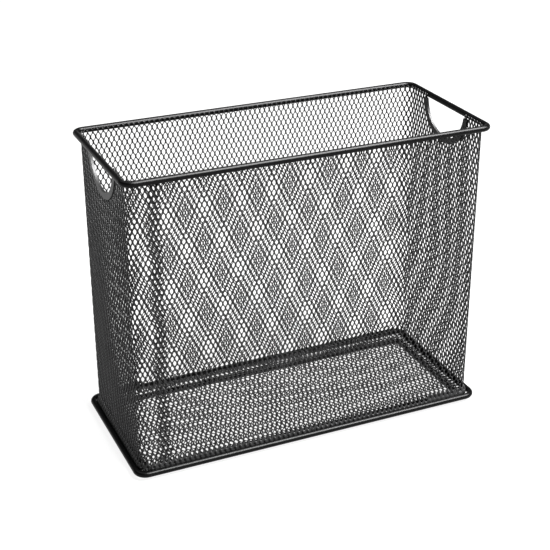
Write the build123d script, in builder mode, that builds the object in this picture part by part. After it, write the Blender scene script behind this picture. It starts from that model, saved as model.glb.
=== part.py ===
from build123d import *
import os

# A free-standing magazine and file holder: an open-topped box of black expanded-metal mesh.
# One mesh sheet is wrapped round the four sides and lapped on itself at the front, and a wire hoop
# is welded round its top and another round its foot. The foot is turned in over a third, smaller
# hoop that the holder stands on, and the floor mesh is laid over that. Each end has a half-round
# hand hole edged with a folded metal channel.
# The frame: X across the width, Y from front (-) to back (+), Z up, origin on the standing
# surface under the middle of the box.

# Size over the wire hoops
OVERALL_WIDTH = 304.8
OVERALL_DEPTH = 133.35
OVERALL_HEIGHT = 247.65

# Stock
WIRE_DIAMETER = 4.8
SHEET = 0.8
CHANNEL_SHEET = 0.6

# Hoops and wall
BASE_OVERHANG = 1.4
BASE_HOOP_LIFT = 3.2
TOP_HOOP_RADIUS = 7.0
BASE_HOOP_RADIUS = 8.0
WALL_CORNER_RADIUS = 9.0
WALL_TOP_BELOW_HOOP_TOP = 1.2

# Floor hoop, measured inwards from the base hoop between the middles of the wires
FLOOR_HOOP_INSET_X = 9.3
FLOOR_HOOP_INSET_Y = 11.5
FLOOR_HOOP_RADIUS = 7.5

# Sheet edges at the foot, measured from the middle of the floor hoop's wire
FLANGE_PAST_HOOP = 2.4
FLOOR_PAST_HOOP = 2.4

# Lap, where the two ends of the wall sheet meet
LAP_WIDTH = 9.0
LAP_CENTRE_X = -127.5

# Hand holes
HAND_HOLE_RADIUS = 30.0
CHANNEL_WIDTH = 5.0

# Derived sizes
wire_radius = WIRE_DIAMETER / 2
wall_half_width = OVERALL_WIDTH / 2 - WIRE_DIAMETER - BASE_OVERHANG
wall_half_depth = OVERALL_DEPTH / 2 - WIRE_DIAMETER - BASE_OVERHANG
bend_x = wall_half_width - WALL_CORNER_RADIUS
bend_y = wall_half_depth - WALL_CORNER_RADIUS
base_half_width = OVERALL_WIDTH / 2 - wire_radius
base_half_depth = OVERALL_DEPTH / 2 - wire_radius
floor_hoop_half_width = base_half_width - FLOOR_HOOP_INSET_X
floor_hoop_half_depth = base_half_depth - FLOOR_HOOP_INSET_Y
flange_top = WIRE_DIAMETER + SHEET
wall_top = OVERALL_HEIGHT - WALL_TOP_BELOW_HOOP_TOP
wall_height = wall_top - flange_top
top_hoop_underside = OVERALL_HEIGHT - WIRE_DIAMETER

SIDES = {"left": -1, "right": 1}
FACES = {"front": -1, "back": 1}


def finish(piece, name):
    """Name a finished piece and write it to its own file."""
    piece.part.label = name
    export_step(piece.part, f"parts/{name}.step")
    print(f"{name}: {piece.part.volume:.1f} mm3")


def wire_hoop(half_width, half_depth, height, corner_radius):
    """A round wire bent into a rounded rectangle and butt-welded into a closed hoop."""
    corners = [
        (-half_width, -half_depth),
        (half_width, -half_depth),
        (half_width, half_depth),
        (-half_width, half_depth),
    ]
    with BuildPart() as hoop:
        with BuildLine(Plane.XY.offset(height)) as path:
            FilletPolyline(*corners, radius=corner_radius, close=True)
        start = path.line @ 0
        with BuildSketch(Plane(origin=start, z_dir=path.line % 0)):
            Circle(wire_radius)
        sweep(path=path.line, transition=Transition.RIGHT)
    return hoop


def wall_panel(width, depth, centre):
    """An upright flat run of the wrapped wall sheet, standing on the foot flange."""
    with BuildPart() as panel:
        with BuildSketch(Plane.XY.offset(flange_top)):
            with Locations(centre):
                Rectangle(width, depth)
        extrude(amount=wall_height)
    return panel


os.makedirs("parts", exist_ok=True)

# Wire hoops. The top one lies outside the wall, flush along its straight runs; its corners are
# tighter than the sheet's bends, which leaves a small gap there. The base one stands further out
# and clear of the standing surface, which only the floor hoop touches.
top_hoop = wire_hoop(
    wall_half_width + wire_radius,
    wall_half_depth + wire_radius,
    OVERALL_HEIGHT - wire_radius,
    TOP_HOOP_RADIUS,
)
finish(top_hoop, "top_rim_wire")

base_hoop_height = BASE_HOOP_LIFT + wire_radius
base_hoop = wire_hoop(base_half_width, base_half_depth, base_hoop_height, BASE_HOOP_RADIUS)
finish(base_hoop, "base_rim_wire")

floor_hoop = wire_hoop(
    floor_hoop_half_width,
    floor_hoop_half_depth,
    wire_radius,
    FLOOR_HOOP_RADIUS,
)
finish(floor_hoop, "floor_rim_wire")

# Foot flange: the wall sheet's lower edge turned in flat, from the base hoop to the floor hoop.
with BuildPart() as foot_flange:
    with BuildSketch(Plane.XY.offset(flange_top - SHEET)):
        RectangleRounded(
            2 * (base_half_width - wire_radius),
            2 * (base_half_depth - wire_radius),
            BASE_HOOP_RADIUS - wire_radius,
        )
        RectangleRounded(
            2 * (floor_hoop_half_width - FLANGE_PAST_HOOP),
            2 * (floor_hoop_half_depth - FLANGE_PAST_HOOP),
            FLOOR_HOOP_RADIUS - FLANGE_PAST_HOOP,
            mode=Mode.SUBTRACT,
        )
    extrude(amount=SHEET)
finish(foot_flange, "wall_foot_flange")

# Floor: a second mesh sheet laid on the flange, its edge over the floor hoop.
with BuildPart() as floor:
    with BuildSketch(Plane.XY.offset(flange_top)):
        RectangleRounded(
            2 * (floor_hoop_half_width + FLOOR_PAST_HOOP),
            2 * (floor_hoop_half_depth + FLOOR_PAST_HOOP),
            FLOOR_HOOP_RADIUS + FLOOR_PAST_HOOP,
        )
    extrude(amount=SHEET)
finish(floor, "floor_mesh")

# Front and back runs of the wall sheet.
for face, direction in FACES.items():
    middle_y = direction * (wall_half_depth - SHEET / 2)
    finish(wall_panel(2 * bend_x, SHEET, (0, middle_y)), f"wall_{face}")

# The sheet's two ends overlap in a narrow upright lap inside the front run, near the left corner.
lap_y = -(wall_half_depth - 1.5 * SHEET)
finish(wall_panel(LAP_WIDTH, SHEET, (LAP_CENTRE_X, lap_y)), "wall_lap_seam")

# End runs, each with a half-round hand hole whose straight side is the top hoop.
for side, direction in SIDES.items():
    middle_x = direction * (wall_half_width - SHEET / 2)
    with BuildPart() as end_run:
        with BuildSketch(Plane.YZ.offset(middle_x)):
            with Locations((0, flange_top + wall_height / 2)):
                Rectangle(2 * bend_y, wall_height)
            with Locations((0, OVERALL_HEIGHT)):
                Circle(HAND_HOLE_RADIUS, mode=Mode.SUBTRACT)
        extrude(amount=SHEET / 2, both=True)
    finish(end_run, f"wall_{side}_end")

# Upright bends of the sheet at the four corners.
for side, x_sign in SIDES.items():
    for face, y_sign in FACES.items():
        with BuildPart() as bend:
            with BuildSketch(Plane.XY.offset(flange_top)):
                with Locations((x_sign * bend_x, y_sign * bend_y)):
                    Circle(WALL_CORNER_RADIUS)
                    Circle(WALL_CORNER_RADIUS - SHEET, mode=Mode.SUBTRACT)
                quarter_x = x_sign * (bend_x + WALL_CORNER_RADIUS / 2)
                quarter_y = y_sign * (bend_y + WALL_CORNER_RADIUS / 2)
                with Locations((quarter_x, quarter_y)):
                    Rectangle(WALL_CORNER_RADIUS, WALL_CORNER_RADIUS, mode=Mode.INTERSECT)
            extrude(amount=wall_height)
        finish(bend, f"wall_corner_{face}_{side}")

# Hand-hole trims: a channel folded over the cut edge, its two lips on the two faces of the wall
# and its web lining the hole. The legs end under the top hoop.
hoop_axis = Axis((0, 0, OVERALL_HEIGHT), (1, 0, 0))
web_radius = HAND_HOLE_RADIUS - CHANNEL_SHEET
lip_radius = web_radius + CHANNEL_WIDTH
channel_depth = SHEET + 2 * CHANNEL_SHEET
for side, direction in SIDES.items():
    middle_x = direction * (wall_half_width - SHEET / 2)
    with BuildPart() as trim:
        with BuildSketch(Plane.XZ):
            with Locations((middle_x, OVERALL_HEIGHT - (web_radius + lip_radius) / 2)):
                Rectangle(channel_depth, CHANNEL_WIDTH)
            with Locations((middle_x, OVERALL_HEIGHT - (HAND_HOLE_RADIUS + lip_radius) / 2)):
                Rectangle(SHEET, lip_radius - HAND_HOLE_RADIUS, mode=Mode.SUBTRACT)
        revolve(axis=hoop_axis)
        split(bisect_by=Plane.XY.offset(top_hoop_underside), keep=Keep.BOTTOM)
    finish(trim, f"{side}_handle_trim")
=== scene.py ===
import math

import bmesh
import bpy
import numpy as np
from mathutils import Matrix, Vector


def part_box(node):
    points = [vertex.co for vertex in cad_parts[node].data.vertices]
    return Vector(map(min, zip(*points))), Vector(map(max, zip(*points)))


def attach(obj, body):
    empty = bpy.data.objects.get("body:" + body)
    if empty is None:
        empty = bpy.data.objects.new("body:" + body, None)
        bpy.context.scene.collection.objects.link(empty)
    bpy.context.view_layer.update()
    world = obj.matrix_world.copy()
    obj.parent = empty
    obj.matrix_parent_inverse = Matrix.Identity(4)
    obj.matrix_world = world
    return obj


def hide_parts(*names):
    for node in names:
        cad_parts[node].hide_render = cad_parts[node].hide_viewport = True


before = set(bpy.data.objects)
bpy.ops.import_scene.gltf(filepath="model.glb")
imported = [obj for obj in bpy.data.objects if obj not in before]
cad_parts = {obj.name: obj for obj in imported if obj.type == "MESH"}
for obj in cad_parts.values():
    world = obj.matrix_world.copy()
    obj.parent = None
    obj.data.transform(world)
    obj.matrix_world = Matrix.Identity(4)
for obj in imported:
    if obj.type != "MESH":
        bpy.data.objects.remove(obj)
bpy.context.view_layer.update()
MM = 0.001

# ---------------------------------------------------------------- places read from the CAD frame
wall_lo, wall_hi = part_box("wall_front")
_, end_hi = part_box("wall_right_end")
_, hoop_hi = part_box("top_rim_wire")
floor_lo, floor_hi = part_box("floor_mesh")
flange_lo, flange_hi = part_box("wall_foot_flange")
lap_lo, lap_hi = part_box("wall_lap_seam")
trim_lo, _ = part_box("right_handle_trim")
base_lo, base_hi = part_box("base_rim_wire")
_, foot_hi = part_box("floor_rim_wire")

sheet = wall_hi.y - wall_lo.y
bend_x = wall_hi.x
bend_y = end_hi.y
mid_x = end_hi.x - sheet / 2
mid_y = -wall_lo.y - sheet / 2
bend_radius = mid_x - bend_x
wall_foot = wall_lo.z
wall_top = wall_hi.z
height = hoop_hi.z
flange_z = (flange_lo.z + flange_hi.z) / 2
trim_radius = height - trim_lo.z
wire_radius = (base_hi.z - base_lo.z) / 2

# The foot flange ends flush with the inner side of the floor hoop it lies on.
window_x = foot_hi.x - 2 * wire_radius
window_y = foot_hi.y - 2 * wire_radius

# ---------------------------------------------------------------- the expanded metal
# Its lattice: openings a pitch apart along a row, every other row shifted by half a pitch. The
# pitch goes a whole number of times round the box.
RUNS = [2 * bend_x, 2 * bend_y]
ARC = math.pi / 2 * bend_radius
PERIMETER = 2 * sum(RUNS) + 4 * ARC
COLUMNS = 192
PITCH = PERIMETER / COLUMNS
ROW = 8.65 * MM
FALL = ROW / PERIMETER

# One cell: the bond between neighbours, the opening's half width, half height and roundness, the
# points round it, the metal's thickness, how much of that is left at the opening's edge, and the
# lean of the strands.
BOND = 1.8 * MM
OPEN_X = 1.54 * MM
OPEN_Z = 2.8 * MM
OPEN_ROUNDNESS = 1.3
OUTLINE = 12
DEPTH = 0.95 * MM
EDGE_DEPTH = 0.6
TILT = 0.5


def cell_outline():
    """Twelve points round one opening's cell, on the middle lines of its strands and bonds."""
    quarter = [
        (PITCH / 2, 0),
        (PITCH / 2, BOND / 2),
        (PITCH / 4, ROW / 4),
        (0, ROW / 2 - BOND / 2),
    ]
    return mirror_quarter(quarter)


def opening_outline():
    """Twelve points round the opening itself, a diamond with rounded corners."""
    quarter = []
    for degrees in (0, 24, 50, 90):
        t = math.radians(degrees)
        x = OPEN_X * abs(math.cos(t)) ** OPEN_ROUNDNESS
        quarter.append((x, OPEN_Z * math.sin(t) ** OPEN_ROUNDNESS))
    quarter[3] = (0, OPEN_Z)
    return mirror_quarter(quarter)


def mirror_quarter(quarter):
    """The whole outline, anticlockwise from its right end, from the four points of one quarter."""
    right, upper, slope, top = quarter
    points = list(quarter)
    points += [(-x, z) for x, z in (slope, upper, right)]
    points += [(-x, -z) for x, z in (upper, slope)]
    points += [(0, -top[1])]
    points += [(x, -z) for x, z in (slope, upper)]
    return np.array(points, float)


def expanded_sheet(name, centres, place, openness=1.0):
    """One closed solid sheet of expanded metal. centres are the openings' centres on the flat
    sheet, openness scales each opening, and place(s, v, w) bends the sheet to shape, w being the
    distance outward from its middle."""
    cells = len(centres)
    scale = np.broadcast_to(openness, cells)
    rim = centres[:, None, :] + cell_outline()[None]
    hole = centres[:, None, :] + opening_outline()[None] * scale[:, None, None]
    keys = np.round(rim.reshape(-1, 2) / (MM * 1e-3)).astype(np.int64)
    _, first, index = np.unique(keys, axis=0, return_index=True, return_inverse=True)
    index = index.reshape(cells, OUTLINE)
    rim_points = rim.reshape(-1, 2)[first]
    shared = len(rim_points)
    hole_points = hole.reshape(-1, 2)
    half = DEPTH / 2
    sv = np.concatenate([rim_points, rim_points, hole_points, hole_points])
    w = np.concatenate([
        np.full(shared, half),
        np.full(shared, -half),
        np.full(len(hole_points), half * EDGE_DEPTH),
        np.full(len(hole_points), -half * EDGE_DEPTH),
    ])
    co = place(sv[:, 0] - TILT * w, sv[:, 1], w)
    rim_front = index
    rim_back = index + shared
    hole_front = 2 * shared + np.arange(cells * OUTLINE).reshape(cells, OUTLINE)
    hole_back = hole_front + cells * OUTLINE

    def after(a):
        return np.roll(a, -1, axis=1)

    def quads(*corners):
        return np.stack(corners, axis=-1).reshape(-1, 4)

    faces = [
        quads(rim_front, after(rim_front), after(hole_front), hole_front),
        quads(after(rim_back), rim_back, hole_back, after(hole_back)),
        quads(hole_front, after(hole_front), after(hole_back), hole_back),
    ]
    a = rim_front.reshape(-1)
    b = after(rim_front).reshape(-1)
    edge = np.minimum(a, b) * shared + np.maximum(a, b)
    _, place_of, count = np.unique(edge, return_inverse=True, return_counts=True)
    outer = count[place_of] == 1
    faces.append(np.stack([b[outer], a[outer], a[outer] + shared, b[outer] + shared], axis=-1))
    return mesh_object(name, co, np.concatenate(faces))


SMALLEST_FACE = 1e-12
CUT_TOLERANCE = 1e-7


def mesh_object(name, co, faces):
    """A smooth-shaded mesh object from arrays, without faces that have shrunk to nothing."""
    corner = co[faces]
    area = np.linalg.norm(
        np.cross(corner[:, 2] - corner[:, 0], corner[:, 3] - corner[:, 1]), axis=1
    )
    faces = faces[area > SMALLEST_FACE]
    mesh = bpy.data.meshes.new(name)
    mesh.from_pydata(co.tolist(), [], faces.tolist())
    mesh.validate()
    mesh.shade_smooth()
    piece = bpy.data.objects.new(name, mesh)
    bpy.context.scene.collection.objects.link(piece)
    return piece


def cut(piece, point, normal):
    """Cuts a piece on a plane, keeps the side the normal points away from, and closes the ends."""
    work = bmesh.new()
    work.from_mesh(piece.data)
    geometry = work.verts[:] + work.edges[:] + work.faces[:]
    result = bmesh.ops.bisect_plane(
        work, geom=geometry, dist=CUT_TOLERANCE, plane_co=point, plane_no=normal, clear_outer=True
    )
    edges = [e for e in result["geom_cut"] if isinstance(e, bmesh.types.BMEdge)]
    bmesh.ops.holes_fill(work, edges=edges, sides=0)
    loose = [v for v in work.verts if not v.link_faces]
    bmesh.ops.delete(work, geom=loose, context="VERTS")
    work.to_mesh(piece.data)
    work.free()
    piece.data.shade_smooth()


# The wall sheet runs front, right, back, left. s is the way round from the front's left end, v the
# height along the sheet, and it turns in at the foot round a small bend.
FOOT_BEND = 1.5 * MM
FOOT_ARC = FOOT_BEND * math.pi / 2
STARTS = np.cumsum([0, RUNS[0], ARC, RUNS[1], ARC, RUNS[0], ARC, RUNS[1], ARC])
CORNERS = [(bend_x, -bend_y), (bend_x, bend_y), (-bend_x, bend_y), (-bend_x, -bend_y)]


def around(s):
    """The point of the sheet's middle line at s, and the outward direction there."""
    s = np.mod(s, PERIMETER)
    x, y = np.zeros_like(s), np.zeros_like(s)
    nx, ny = np.zeros_like(s), np.zeros_like(s)
    runs = [(0, -1), (1, 0), (0, 1), (-1, 0)]
    for k, (ox, oy) in enumerate(runs):
        start, end, stop = STARTS[2 * k], STARTS[2 * k + 1], STARTS[2 * k + 2]
        cx, cy = CORNERS[k]
        on = (s >= start) & (s < end)
        back = end - s[on]
        x[on] = cx + ox * bend_radius + oy * back
        y[on] = cy + oy * bend_radius - ox * back
        nx[on], ny[on] = ox, oy
        on = (s >= end) & (s < stop)
        turn = (s[on] - end) / bend_radius + math.atan2(oy, ox)
        nx[on], ny[on] = np.cos(turn), np.sin(turn)
        x[on] = cx + bend_radius * nx[on]
        y[on] = cy + bend_radius * ny[on]
    return x, y, nx, ny


def folded(v):
    """The sheet's height and inward distance at v, and the cosine and sine of its turn there."""
    upright = flange_z + FOOT_BEND
    turn = np.clip((upright - v) / FOOT_BEND, 0, math.pi / 2)
    beyond = np.clip(upright - FOOT_ARC - v, 0, None)
    z = np.where(v >= upright, v, upright - FOOT_BEND * np.sin(turn))
    inward = FOOT_BEND * (1 - np.cos(turn)) + beyond
    return z, inward, np.cos(turn), np.sin(turn)


# The weld is on the inner, upper side of the base hoop.
FLARE_HEIGHT = 7.0 * MM
weld_x = base_hi.x - wire_radius * (1 + math.sin(math.pi / 4))
weld_z = base_hi.z - wire_radius * (1 - math.sin(math.pi / 4))


def flare(z):
    """How far the sheet's foot is drawn out to where it is welded to the base hoop."""
    rise = np.clip(1 - (z - weld_z) / FLARE_HEIGHT, 0, 1)
    return (weld_x - mid_x) * rise**1.5


# How far the ends and the long sides bow out, up to what height, and the metal's unevenness.
END_BOW = 3.2 * MM
SIDE_BOW = 0.6 * MM
BOW_TOP = 0.87 * height
DRIFT = 0.13 * MM
DRIFT_FADE = 40 * MM

# The waves of that unevenness, along and up: how many go round the box, the rise in which one
# moves on by a radian, and where it starts.
WAVES_ALONG = [(9, 18 * MM, 0), (5, -31 * MM, 0)]
WAVES_UP = [(7, 24 * MM, 1), (4, -15 * MM, 0)]


def bow(x, y, nx, z):
    """How far the thin sheet stands proud of flat at mid-height, most at the middle of each run."""
    rise = np.sin(np.pi * np.clip(z / BOW_TOP, 0, 1)) ** 2
    ends = END_BOW * np.cos(np.pi / 2 * np.clip(y / mid_y, -1, 1)) ** 2 * np.abs(nx) ** 4
    sides = SIDE_BOW * np.cos(np.pi / 2 * np.clip(x / mid_x, -1, 1)) ** 2 * (1 - np.abs(nx) ** 4)
    return rise * (ends + sides)


def level(s, v):
    """Height along the sheet: its rows run slightly downhill, by one row in a turn of the box."""
    return v - FALL * s


def drift(s, v):
    """How far a point is out of true, as stretched metal slightly is, along and up. The foot is
    true."""
    turn = 2 * math.pi * s / PERIMETER
    z = level(s, v)
    along = sum(np.sin(count * turn + z / rise + start) for count, rise, start in WAVES_ALONG)
    up = sum(np.sin(count * turn + z / rise + start) for count, rise, start in WAVES_UP)
    fade = DRIFT * np.clip((z - wall_foot) / DRIFT_FADE, 0, 1)
    return fade * along, fade * up


def on_wall(s, v, w):
    """Bends the flat sheet into the wall."""
    along, up = drift(s, v)
    x, y, nx, ny = around(s + along)
    z, inward, upright, flat = folded(level(s, v) + up)
    out = bow(x, y, nx, z) + flare(z) - inward + w * upright
    co = np.stack([x + nx * out, y + ny * out, z - w * flat], axis=-1)
    return clear_hand_hole(co)


# How far the sheet's edge, and the middles of its last openings, stay inside the trim's outline.
EDGE_COVER = 4.2 * MM
OPENING_COVER = 7.5 * MM


def clear_hand_hole(co):
    """Draws the sheet back from the hand holes, to just under the channel that edges them."""
    edge = trim_radius - EDGE_COVER
    dy = co[:, 1]
    dz = co[:, 2] - height
    r = np.hypot(dy, dz)
    near = (np.abs(co[:, 0]) > bend_x + bend_radius / 2) & (r < edge)
    scale = np.where(near, edge / np.maximum(r, 1e-9), 1)
    co[:, 1] = dy * scale
    co[:, 2] = height + dz * scale
    return co


SPARE = 8
HALF_ROWS = 64


def lattice(low, high, foot, top):
    """Centres of the staggered openings from s = low to high and from the foot to the top level."""
    j, k = np.meshgrid(np.arange(-SPARE, COLUMNS + SPARE), np.arange(-SPARE, HALF_ROWS))
    s = (j + (k % 2) / 2) * PITCH
    v = wall_foot + (ROW - BOND) / 2 + k * ROW / 2
    inside = (s >= low - PITCH / 4) & (s < high - PITCH / 4)
    inside &= (level(s, v) >= foot) & (level(s, v) < top)
    return np.stack([s[inside], v[inside]], axis=-1)


WELD_REACH = 0.4 * ROW
WELD_OPENNESS = 0.3


def weld_openness(points):
    """The openings beside the base hoop are pressed nearly shut where the sheet is welded to it."""
    z = level(points[:, 0], points[:, 1])
    welded = (z > wall_foot - WELD_REACH) & (z < weld_z + WELD_REACH)
    return np.where(welded, WELD_OPENNESS, 1.0)


def in_hand_hole(points):
    """Whether each point of the flat sheet lies in a hand hole."""
    s, v = points.T
    _, y, nx, _ = around(s)
    r = np.hypot(y, level(s, v) - height)
    return (np.abs(nx) > 0.99) & (r < trim_radius - OPENING_COVER)


mesh_pieces = []


def add_mesh(piece, node):
    """Puts a finished mesh piece in the place of its CAD node."""
    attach(piece, "root")
    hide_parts(node)
    mesh_pieces.append(piece)


# The wall, in pieces that share the lattice's points where they meet.
half_front = STARTS[1] / 2
half_back = (STARTS[4] + STARTS[5]) / 2
for name, low, high, node in [
    ("front_mesh_left", STARTS[0], half_front, "wall_front"),
    ("front_mesh_right", half_front, STARTS[1], "wall_front"),
    ("corner_mesh_front_right", STARTS[1], STARTS[2], "wall_corner_front_right"),
    ("end_mesh_right", STARTS[2], STARTS[3], "wall_right_end"),
    ("corner_mesh_back_right", STARTS[3], STARTS[4], "wall_corner_back_right"),
    ("back_mesh_right", STARTS[4], half_back, "wall_back"),
    ("back_mesh_left", half_back, STARTS[5], "wall_back"),
    ("corner_mesh_back_left", STARTS[5], STARTS[6], "wall_corner_back_left"),
    ("end_mesh_left", STARTS[6], STARTS[7], "wall_left_end"),
    ("corner_mesh_front_left", STARTS[7], STARTS[8], "wall_corner_front_left"),
]:
    points = lattice(low, high, wall_foot, wall_top + ROW / 2)
    points = points[~in_hand_hole(points)]
    run = expanded_sheet(name, points, on_wall, weld_openness(points))
    cut(run, (0, 0, wall_top), (0, 0, 1))
    add_mesh(run, node)

# The lap: the sheet's other end, one thickness inside the front, two cells wide and out of step.
LAP_STEP = (0.25 * PITCH, 0.1 * ROW)
LAP_OPENNESS = 0.85
lap_middle = (lap_lo.x + lap_hi.x) / 2 + bend_x
lap_points = lattice(lap_middle - PITCH, lap_middle + PITCH, wall_foot, wall_top + ROW / 2)
lap_points += LAP_STEP


def on_lap(s, v, w):
    """Bends the flat sheet to lie inside the wall."""
    return on_wall(s, v, w - DEPTH)


lap_mesh = expanded_sheet("lap_mesh", lap_points, on_lap, LAP_OPENNESS)
cut(lap_mesh, (0, 0, wall_top), (0, 0, 1))
add_mesh(lap_mesh, "wall_lap_seam")


# The foot flange: the same sheet past its fold, one strip a side, mitred at the corners.
def within_bends(co):
    """Keeps the corners of the flange inside the rounded corners of the wall."""
    dx = np.abs(co[:, 0]) - bend_x
    dy = np.abs(co[:, 1]) - bend_y
    r = np.hypot(dx, dy)
    limit = bend_radius + flare(flange_z)
    outside = (dx > 0) & (dy > 0) & (r > limit)
    scale = np.where(outside, limit / np.maximum(r, 1e-9), 1)
    co[:, 0] = np.where(outside, np.sign(co[:, 0]) * (bend_x + dx * scale), co[:, 0])
    co[:, 1] = np.where(outside, np.sign(co[:, 1]) * (bend_y + dy * scale), co[:, 1])
    return co


FLANGE_ROWS = 2.2


def flange_strip(name, side, inner_edge):
    """The strip of flange along one side of the box, from the wall's fold to inner_edge."""
    nx, ny = side
    half_run = mid_x if nx == 0 else mid_y
    offset = mid_y if nx == 0 else mid_x
    bend = bend_x if nx == 0 else bend_y
    start = STARTS[{(0, -1): 0, (1, 0): 2, (0, 1): 4, (-1, 0): 6}[side]]

    def place(s, v, w):
        along = s - start - bend
        z, inward, upright, flat = folded(level(s, v))
        out = offset + flare(z) - inward + w * upright
        x = nx * out - ny * along
        y = ny * out + nx * along
        return within_bends(np.stack([x, y, z - w * flat], axis=-1))

    low = start + bend - half_run
    high = start + bend + half_run
    points = lattice(low - PITCH, high + PITCH, wall_foot - FLANGE_ROWS * ROW, wall_foot)
    strip = expanded_sheet(name, points, place, weld_openness(points))
    edge = Vector((nx, ny, 0)) * inner_edge
    cut(strip, edge, Vector((-nx, -ny, 0)))
    for way in (-1, 1):
        tangent = Vector((-ny, nx, 0)) * way
        corner = Vector((nx, ny, 0)) * offset + tangent * half_run
        cut(strip, corner, (tangent - Vector((nx, ny, 0))).normalized())
    add_mesh(strip, "wall_foot_flange")


flange_strip("foot_mesh_front", (0, -1), window_y)
flange_strip("foot_mesh_right", (1, 0), window_x)
flange_strip("foot_mesh_back", (0, 1), window_y)
flange_strip("foot_mesh_left", (-1, 0), window_x)

# The floor: a flat panel of the same metal, cut a little out of square with its rows.
FLOOR_TURN = math.radians(2.2)
FLOOR_SAG = 0.5 * MM
CORNER_CUT = 4.0 * MM
floor_columns = math.ceil(1.1 * floor_hi.x / PITCH)
floor_rows = math.ceil(2.4 * floor_hi.y / ROW)


def on_floor(s, v, w):
    """Lays the flat sheet in the box, turned, and sagging a little in the middle."""
    x = s * math.cos(FLOOR_TURN) - v * math.sin(FLOOR_TURN)
    y = s * math.sin(FLOOR_TURN) + v * math.cos(FLOOR_TURN)
    middle = (floor_lo.z + floor_hi.z) / 2
    across = np.clip(x / floor_hi.x, -1, 1)
    along = np.clip(y / floor_hi.y, -1, 1)
    dip = np.cos(np.pi / 2 * across) * np.cos(np.pi / 2 * along)
    return np.stack([x, y, middle + w - FLOOR_SAG * dip], axis=-1)


j, k = np.meshgrid(np.arange(-floor_columns, floor_columns), np.arange(-floor_rows, floor_rows))
floor_points = np.stack([(j + (k % 2) / 2) * PITCH, k * ROW / 2], axis=-1).reshape(-1, 2)
floor_piece = expanded_sheet("floor_panel", floor_points, on_floor)
for x, y in [(1, 0), (-1, 0), (0, 1), (0, -1)]:
    cut(floor_piece, (x * floor_hi.x, y * floor_hi.y, 0), (x, y, 0))
for x, y in [(1, 1), (-1, 1), (-1, -1), (1, -1)]:
    cut(floor_piece, (x * (floor_hi.x - CORNER_CUT), y * (floor_hi.y - CORNER_CUT), 0), (x, y, 0))
add_mesh(floor_piece, "floor_mesh")


# ---------------------------------------------------------------- materials
def powder_coat(name, colour, rough, grain, bump, specular):
    """Baked black powder coat: fine orange peel, slightly uneven gloss and tone."""
    material = bpy.data.materials.new(name)
    material.use_nodes = True
    nodes, links = material.node_tree.nodes, material.node_tree.links
    shader = nodes["Principled BSDF"]
    shader.inputs["Metallic"].default_value = 0.0
    shader.inputs["Specular IOR Level"].default_value = specular
    coords = nodes.new("ShaderNodeTexCoord")
    peel = nodes.new("ShaderNodeTexNoise")
    peel.inputs["Scale"].default_value = grain
    peel.inputs["Detail"].default_value = 3.0
    patch = nodes.new("ShaderNodeTexNoise")
    patch.inputs["Scale"].default_value = grain / 25
    patch.inputs["Detail"].default_value = 4.0
    for noise in (peel, patch):
        links.new(coords.outputs["Object"], noise.inputs["Vector"])
    tone = nodes.new("ShaderNodeValToRGB")
    tone.color_ramp.elements[0].position = 0.3
    tone.color_ramp.elements[1].position = 0.75
    tone.color_ramp.elements[0].color = (*[c * 0.75 for c in colour], 1)
    tone.color_ramp.elements[1].color = (*[c * 1.3 for c in colour], 1)
    links.new(patch.outputs["Fac"], tone.inputs["Fac"])
    links.new(tone.outputs["Color"], shader.inputs["Base Color"])
    gloss = nodes.new("ShaderNodeMapRange")
    gloss.inputs["To Min"].default_value = rough - 0.07
    gloss.inputs["To Max"].default_value = rough + 0.09
    links.new(peel.outputs["Fac"], gloss.inputs["Value"])
    links.new(gloss.outputs["Result"], shader.inputs["Roughness"])
    relief = nodes.new("ShaderNodeBump")
    relief.inputs["Strength"].default_value = bump
    relief.inputs["Distance"].default_value = 0.05 * MM
    links.new(peel.outputs["Fac"], relief.inputs["Height"])
    links.new(relief.outputs["Normal"], shader.inputs["Normal"])
    return material


# Name, colour, roughness, grain of the orange peel, its relief, and specular level.
mesh_coat = powder_coat("black_mesh_coat", (0.012, 0.012, 0.0123), 0.42, 1400, 0.5, 0.35)
wire_coat = powder_coat("black_wire_coat", (0.0012, 0.0012, 0.0013), 0.33, 900, 0.3, 0.17)
trim_coat = powder_coat("black_trim_coat", (0.004, 0.004, 0.0042), 0.45, 1100, 0.4, 0.6)
for piece in mesh_pieces:
    piece.data.materials.append(mesh_coat)


def dress(node, material):
    """Gives a CAD node its own material."""
    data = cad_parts[node].data
    data.materials.clear()
    data.materials.append(material)


for node in ("top_rim_wire", "base_rim_wire", "floor_rim_wire"):
    dress(node, wire_coat)
for node in ("left_handle_trim", "right_handle_trim"):
    dress(node, trim_coat)

# ---------------------------------------------------------------- stage, light and camera
floor_mesh = bpy.data.meshes.new("studio_floor")
reach = 9.0
floor_mesh.from_pydata(
    [(-reach, -reach, 0), (reach, -reach, 0), (reach, reach, 0), (-reach, reach, 0)],
    [],
    [(0, 1, 2, 3)],
)
studio_floor = bpy.data.objects.new("studio_floor", floor_mesh)
bpy.context.scene.collection.objects.link(studio_floor)
floor_paint = bpy.data.materials.new("studio_floor_paint")
floor_paint.use_nodes = True
paper = floor_paint.node_tree.nodes["Principled BSDF"]
paper.inputs["Base Color"].default_value = (0.09, 0.09, 0.09, 1)
paper.inputs["Roughness"].default_value = 0.85
paper.inputs["Specular IOR Level"].default_value = 0.0
paper.inputs["Emission Color"].default_value = (1, 1, 1, 1)
paper.inputs["Emission Strength"].default_value = 0.9
floor_mesh.materials.append(floor_paint)

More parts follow.
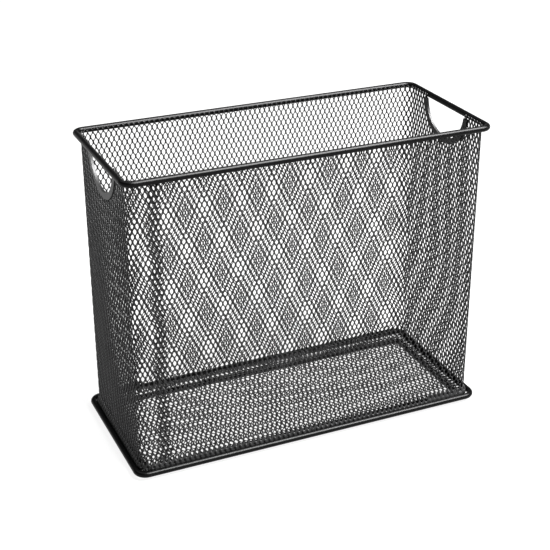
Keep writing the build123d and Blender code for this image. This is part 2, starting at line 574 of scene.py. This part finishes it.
# The room is white along the horizon and dark overhead, so that the wires keep their contrast.
world = bpy.data.worlds.new("studio_world")
bpy.context.scene.world = world
world.use_nodes = True
sky_nodes, sky_links = world.node_tree.nodes, world.node_tree.links
direction = sky_nodes.new("ShaderNodeTexCoord")
split = sky_nodes.new("ShaderNodeSeparateXYZ")
room = sky_nodes.new("ShaderNodeValToRGB")
room.color_ramp.elements[0].position = 0.16
room.color_ramp.elements[0].color = (1, 1, 1, 1)
room.color_ramp.elements[1].position = 0.22
room.color_ramp.elements[1].color = (0.03, 0.03, 0.03, 1)
sky_links.new(direction.outputs["Generated"], split.inputs["Vector"])
sky_links.new(split.outputs["Z"], room.inputs["Fac"])
sky_links.new(room.outputs["Color"], sky_nodes["Background"].inputs["Color"])
sky_nodes["Background"].inputs["Strength"].default_value = 1.0


def soft_light(name, place, aim, width, length, power):
    """A soft box aimed at a point."""
    data = bpy.data.lights.new(name, "AREA")
    data.shape = "RECTANGLE"
    data.size = width
    data.size_y = length
    data.energy = power
    lamp = bpy.data.objects.new(name, data)
    lamp.location = place
    lamp.rotation_euler = (Vector(aim) - Vector(place)).to_track_quat("-Z", "Y").to_euler()
    bpy.context.scene.collection.objects.link(lamp)


soft_light("front_softbox", (0.75, -0.75, 1.75), (0, 0, 0.1), 1.5, 1.3, 250)
soft_light("overhead_softbox", (0.0, 0.9, 2.4), (0, 0.4, 0), 3.0, 2.4, 40)

# The camera: its angle, and its place off the point on the box's axis that it looks towards.
AZIMUTH = math.radians(-23.868)
ELEVATION = math.radians(25.603)
ROLL = math.radians(-0.162)
SENSOR = 36
LENS = 83.08145
AIM_HEIGHT = 0.120
DISTANCE = 1.036228
OFF_RIGHT = -0.006279
OFF_UP = 0.000249
away = Vector((
    math.sin(AZIMUTH) * math.cos(ELEVATION),
    -math.cos(AZIMUTH) * math.cos(ELEVATION),
    math.sin(ELEVATION),
))
right = Vector((math.cos(AZIMUTH), math.sin(AZIMUTH), 0))
up = away.cross(right)
eye = Vector((0, 0, AIM_HEIGHT)) + away * DISTANCE + right * OFF_RIGHT + up * OFF_UP
tilted_right = math.cos(ROLL) * right + math.sin(ROLL) * up
tilted_up = -math.sin(ROLL) * right + math.cos(ROLL) * up
camera_data = bpy.data.cameras.new("camera")
camera_data.sensor_width = SENSOR
camera_data.lens = LENS
camera_data.clip_end = 50
camera = bpy.data.objects.new("camera", camera_data)
placement = Matrix((tilted_right, tilted_up, away)).transposed().to_4x4()
placement.translation = eye
camera.matrix_world = placement
bpy.context.scene.collection.objects.link(camera)
bpy.context.scene.camera = camera
bpy.context.scene.view_settings.view_transform = "Standard"
bpy.context.scene.view_settings.gamma = 0.85
